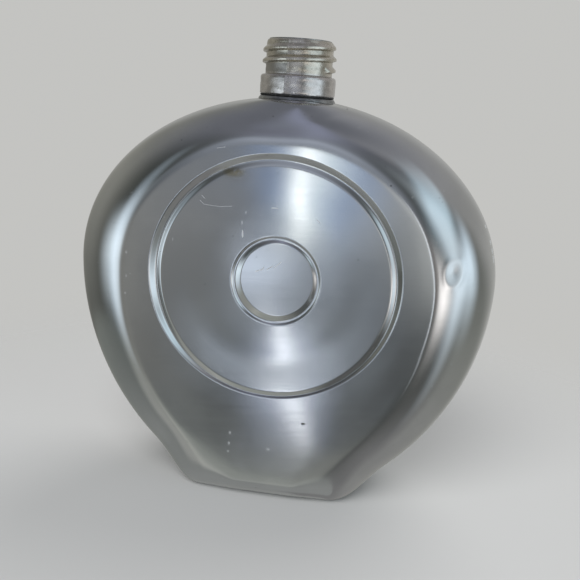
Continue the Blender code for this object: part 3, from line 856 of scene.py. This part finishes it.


# %% [markdown]
# ### Cast neck metal and sealing rubber
# The neck is a zinc-grey casting with an olive cast. Its skin is mottled: smooth glints beside dull patches.
# Shade is painted dark into the corners under the thread and the collar's edge, and onto the left side of the
# threaded wall.

# %% Cast neck metal
def cast_neck_metal():
    material, board, place = new_material("cast_neck_metal")
    mottle = clouds(board, place, 0.0035, 4.0, 0.6)
    fine = clouds(board, place, 0.0008, 3.0, 0.6)
    pits = clouds(board, place, 0.0016, 1.0).rise(0.66, 0.72)
    # Painted shade: where the surface is hollow, under the thread and at the collar's edge, the colour is
    # darkened as shade would darken it
    hollow = board.node("ShaderNodeNewGeometry", output=7)
    painted_crease_shade = 1 - hollow.rise(0.425, 0.492)
    across, depth, level = board.split(place)
    threaded = level.rise(0.1852, 0.1868)
    tone = board.mix(mottle.rise(0.35, 0.65), colour(0.53, 0.505, 0.50), colour(0.66, 0.63, 0.62))
    tone = board.mix(threaded * 0.8, tone, board.mix(mottle.rise(0.35, 0.65), colour(0.54, 0.505, 0.43),
                                                     colour(0.67, 0.625, 0.54)))
    tone = board.mix(fine.rise(0.55, 0.75) * 0.5, tone, colour(0.80, 0.76, 0.73))
    # Painted shade: the left front of the threaded wall is painted darker, as it lies in shade, and is also
    # made a little duller
    dull_and_shaded_side = (across.rise(-0.0030, -0.0036) * depth.rise(0.0, -0.002) * threaded
                 * (1 - level.rise(0.1893, 0.1901)))
    tone = board.mix(dull_and_shaded_side * 0.6, tone, colour(0.27, 0.27, 0.285))
    tone = board.mix(pits * 0.35, tone, colour(0.25, 0.24, 0.17))
    tone = board.mix(painted_crease_shade * 0.8, tone, colour(0.17, 0.165, 0.10))
    rough = 0.26 + (mottle - 0.5) * 0.28 + (fine - 0.5) * 0.1 + painted_crease_shade * 0.2 + dull_and_shaded_side * 0.12
    bump = raised(board, 0.55, 0.00012, mottle * 1.1 + fine * 0.35 - pits * 0.3)
    close_material(board, tone, 0.95, rough, bump)
    return material


cast = cast_neck_metal()


# %% Sealing rubber
def gasket_rubber():
    material, board, place = new_material("gasket_rubber")
    dust = clouds(board, place, 0.0012, 4.0)
    tone = board.mix(dust.rise(0.5, 0.75), colour(0.012, 0.012, 0.012), colour(0.04, 0.04, 0.038))
    close_material(board, tone, 0.0, 0.5 + dust * 0.3, raised(board, 0.3, 0.00005, dust))
    return material


rubber = gasket_rubber()

# %% [markdown]
# ## Dress the solids
# Each finished piece takes the place of its imported solid, with its finish. All of
# them ride on the one body that the bottle has, as nothing on it moves.

# %% Put every piece in its place
finish_piece(front_body, satin, "front_shell")
finish_piece(back_body, satin, "back_shell")
finish_piece(side_weld, ground, "side_weld")
finish_piece(boss, boss_metal, "neck_boss")
finish_piece(gasket, rubber, "neck_gasket")
finish_piece(neck, cast, "threaded_neck")
finish_piece(sleeve, rolled, "neck_sleeve")

# %% [markdown]
# ## Floor
# The bottle stands on a plain pale floor. A disc is enough: its paint turns clear towards its
# edge, so it melts into the backdrop with no horizon. The metal doesn't mirror this disc, because
# the painted room below brings a floor of its own.

# %% Pale floor that fades into the backdrop
deselect_all()
floor = start_circle("floor", 96, 0.6, fill="NGON")
bpy.ops.object.mode_set(mode="OBJECT")
floor_paint, board, place = new_material("floor_paint")
away = board.node("ShaderNodeVectorMath", {"operation": "LENGTH"}, [place], output=1)
paint = board.node("ShaderNodeBsdfPrincipled", {}, {
    "Base Color": colour(0.55, 0.55, 0.54), "Roughness": 0.9, "Specular IOR Level": 0.1,
    "Alpha": 1 - away.rise(0.12, 0.34)})
board.node("ShaderNodeOutputMaterial", {}, {"Surface": paint})
floor.data.materials.append(floor_paint)
floor.visible_glossy = False

# %% [markdown]
# ## The room in the metal
# A satin bottle shows its room more than itself. The room is painted on the world as a few soft
# patches: windows to the left and right, a slit of light straight in front, a pale floor and a
# dim ceiling. A photographed room would be quicker, but painted patches stay plain and can be
# moved one by one. Each lies between two compass angles and two heights, in degrees, with 0
# straight in front of the bottle and plus to its right. Their first values came from a fit to
# the light seen in the real metal, and trial renders did the rest.

# %% Directions in the room, and a soft patch
world = bpy.data.worlds.new("studio")
bpy.context.scene.world = world
world.use_nodes = True
board = Board(world.node_tree)
direction = board.node("ShaderNodeTexCoord", output=0)
east, north, up = board.split(direction)
compass = board.node("ShaderNodeMath", {"operation": "ARCTAN2"}, [east, north * -1.0]) * (180 / math.pi)
height = board.node("ShaderNodeMath", {"operation": "ARCSINE"}, [up]) * (180 / math.pi)


def patch(left, right, low, high, soft, soft_height, lean_left=0.0, lean_right=0.0):
    """1 inside the patch, 0 outside, with soft edges that may lean with the height."""
    from_left = compass - height * lean_left
    from_right = compass - height * lean_right
    return (from_left.rise(left - soft, left + soft) * (1 - from_right.rise(right - soft, right + soft))
            * height.rise(low - soft_height, low + soft_height)
            * (1 - height.rise(high - soft_height, high + soft_height)))


# %% Every patch of light: where it is, and its red, green and blue
lights = [
    # Ceiling, floor and the dim wall over the front
    (height.rise(18, 64), 0.12, 0.12, 0.15),
    (1 - height.rise(-64, -19), 0.19, 0.18, 0.18),
    (compass.bump(-4.7, 20.9) * height.bump(17.5, 25.8), 0.4, 0.43, 0.51),
    (compass.bump(0, 24) * height.bump(70, 24), 0.14, 0.15, 0.22),
    # Left window and its bright middle
    (patch(-65.5, -41.7, -17.3, 2.3, 19, 10.7, 0, 0.3), 1.17, 1.31, 1.39),
    (patch(-50.8, -44.8, -23.9, 33.3, 10.4, 7.1, 0.1, -0.2), 0.73, 0.86, 0.97),
    # Right window, its far sash, its upper part and the warm sill
    (patch(40.5, 62.3, -28.9, 18.8, 10.7, 28.9, -0.3, 0.1), 0.72, 0.8, 0.85),
    (patch(61, 86.8, -11.4, 17.7, 10.8, 19.2, 0.9, 0), 1.01, 1.2, 1.34),
    (patch(24.2, 54.3, 10.2, 38.3, 7.3, 20.4, 0.7, 0.8), 0.62, 0.8, 0.9),
    (compass.bump(32.5, 10.5) * height.bump(-13.3, 7.3), 1.9, 1.8, 1.72),
    # A thin bright post that shows as the line along the face's right edge
    (patch(8, 10.2, -21, -3, 0.9, 4, -0.1, -0.1), 1.0, 1.04, 1.08),
    # Slit of light in front, its upper part and what surrounds it
    (patch(-6.7, -5.4, -10, -2.2, 0.5, 0.8), 2.0, 1.94, 1.78),
    (patch(-11.3, 1.5, -9.9, -2.3, 2.4, 1.6, -0.3, 0.3), 0, 0.09, 0.29),
    (patch(-6.7, -1.9, -10.9, -1.4, 1.9, 0.8, 0.1, 0.2), 0.8, 0.84, 0.7),
    (compass.bump(-9.5, 5.5) * compass.rise(-13, -11) * height.bump(-13.8, 2.7)
     * (1 - height.rise(-12.9, -11.3)), 1.2, 1.34, 1.55),
    (patch(-3.5, 0.2, -11.3, -7.5, 1.2, 1.2), 0.3, 0.34, 0.38),
    # The slit's lower part, where it meets the floor
    (patch(-16, -14.7, -27, -19.8, 0.6, 0.8, -0.4, -0.4), 2.2, 2.2, 2.15),
    (patch(-8.4, -3.2, -22.3, -19.2, 1.6, 0.9), 0.46, 0.51, 0.58),
    (patch(-16.6, -10.4, -26.8, -20.9, 2.1, 0.8, -0.3, -0.3), 0.26, 0.3, 0.42),
    (patch(-12.2, -0.5, -23.4, -15.8, 2.4, 2.7, 0.2, -0.1), 0.1, 0.11, 0.12),
    # Walls, from in front round to each side
    (patch(-1.3, 12.9, -16.1, -2.6, 5.4, 3.2, -0.4, 0.3), 0.49, 0.49, 0.45),
    (patch(-46.4, -11.2, -45.1, -5.2, 7.8, 3.7, 0.2, 0.3), 0.19, 0.18, 0.16),
    (patch(8, 27.9, -40.2, -6.5, 5, 5.1, -0.4, 0.7), 0.06, 0.03, 0.01),
    (patch(-16, 0.2, -50.1, -28.3, 4.3, 2.6, 0.3, -0.1), 0.17, 0.17, 0.15),
    (patch(-139.6, -55, -84.5, -24.6, 0.8, 3, 1.2, -1.5), 0.09, 0.1, 0.09),
    (patch(56.2, 182.9, -55.5, 3.9, 20.4, 30, -0.2, 0.3), 0.19, 0.19, 0.17),
    (patch(-204.1, -80, -16.4, 39.5, 30, 30, 0.6, -0.1), 0.25, 0.24, 0.21),
    (patch(110.4, 179.8, -24.4, 55.7, 23.7, 30, -1.2, 0.2), 0.29, 0.28, 0.27),
]
room = (0.069, 0.074, 0.067)
for share, *tint in lights:
    room = board.node("ShaderNodeVectorMath", {"operation": "MULTIPLY_ADD"}, [share, tint, room])
print("patches of light in the room", len(lights))

# %% [markdown]
# ### Backdrop
# The lens should see one plain pale tone behind the bottle, while the metal sees the room. Light
# Path tells the lens's rays from all others, and a Mix gives each its own colour. Metal that looks
# straight back gets most of the backdrop too, as it would in a studio.

# %% The backdrop, seen by the lens and by metal that faces it
BACKDROP = colour(0.47, 0.47, 0.455)
behind = abs(compass).rise(135, 160) * (1 - height.rise(20, 40)) * height.rise(-50, -15)
room = board.mix(behind * 0.7, room, BACKDROP)
lens_ray = board.node("ShaderNodeLightPath", output=0)
seen = board.mix(lens_ray, room, colour(0.55, 0.55, 0.535))
background = board.node("ShaderNodeBackground", {}, {"Color": seen, "Strength": 1.0})
board.node("ShaderNodeOutputWorld", {}, {"Surface": background})

# %% [markdown]
# ## Lamps
# The room lights the metal. Two soft lamps above, one in front and one behind, give the floor and
# the rubber their light and shade. Wide discs keep the shadow soft, and neither shows in the
# metal, where it would leave a round spot.

# %% Two soft lamps
LAMP_SIZE = 1.1


def soft_lamp(name, place, tilt, energy):
    """A round lamp at a place, tilted by angles in degrees, which metal doesn't mirror."""
    bpy.ops.object.light_add(type="AREA", location=place, rotation=[math.radians(turn) for turn in tilt])
    lamp = bpy.context.object
    lamp.name = name
    lamp.data.shape = "DISK"
    lamp.data.size = LAMP_SIZE
    lamp.data.energy = energy
    lamp.visible_glossy = False


soft_lamp("overhead", (-0.25, -0.9, 0.95), (43, 0, -15), 14.0)
soft_lamp("rear", (0.45, 0.6, 0.9), (-36, 22, 0), 7.0)

# %% [markdown]
# ## Camera
# The camera stands where the photograph was taken from: in front, a little to the right and above.
# Its place and turn were found by fitting the bottle's known lines to those in the photograph.
# The turn is built from the lens's own three directions, as that fit gave them.

# %% Camera
bpy.ops.object.camera_add()
camera = bpy.context.object
camera.name = "camera"
LENS_RIGHT = Vector((0.98845, 0.13459, 0.06969))
LENS_FORWARD = Vector((-0.11211, 0.95872, -0.26135))
LENS_UP = Vector((-0.10199, 0.25051, 0.96273))
turn = Matrix((LENS_RIGHT, LENS_UP, -LENS_FORWARD)).transposed().to_4x4()
camera.matrix_world = Matrix.Translation((0.0401, -0.3172, 0.1776)) @ turn
camera.data.lens = 44.76
camera.data.sensor_width = 36.0
camera.data.clip_start = 0.01
bpy.context.scene.camera = camera

# %% [markdown]
# ## Last settings
# Standard shows colours as they are written.

# %% Colours as they are written
bpy.context.scene.view_settings.view_transform = "Standard"
